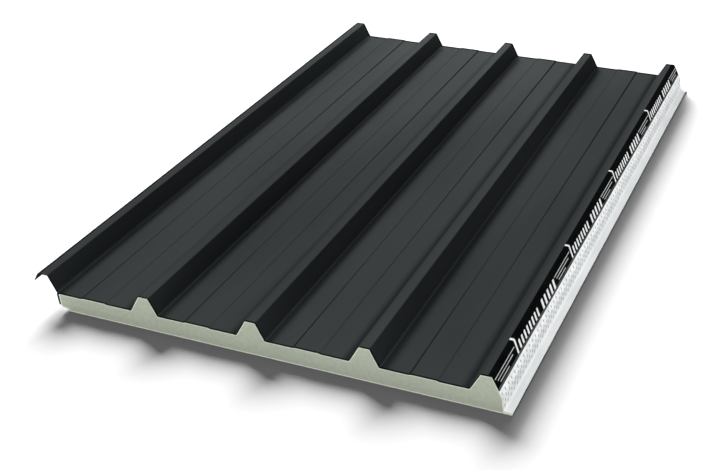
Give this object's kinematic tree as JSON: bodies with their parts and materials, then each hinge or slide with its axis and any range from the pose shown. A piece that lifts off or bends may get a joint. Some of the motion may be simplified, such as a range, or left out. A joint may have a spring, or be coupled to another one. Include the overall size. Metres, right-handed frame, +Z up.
{
  "type": "sandwich panel",
  "caption": "Insulated roof panel: dark trapezoidal steel sheet on rigid foam and a flat pale liner, with an empty lap rib along one side and a joint tongue along the other.",
  "frame": {"origin": "middle of the underside: the middle of the bounding box in X and Y, at its lowest level", "axes": "+X across the ribs from the empty lap rib to the tongue, +Y along the ribs, +Z up from the liner to the ribs; the picture's front end is at -Y"},
  "size_m": [1.0794, 1.75, 0.079],
  "materials": {
    "outer_steel": "satin anthracite coil paint",
    "rigid_foam": "saw-cut closed-cell foam, pale greenish grey",
    "inner_steel": "satin pale grey coil paint",
    "white_film": "white laminated film, dimpled over the foam",
    "black_film": "black film with plain white marks",
    "seal_foam": "black sealing strip"
  },
  "bodies": {
    "root": {"outer_facing": "outer_steel", "foam_core": "rigid_foam", "inner_facing": "inner_steel", "side_cover_film": "white_film", "rib_print_film": "black_film", "edge_seal": "seal_foam"}
  },
  "joints": []
}
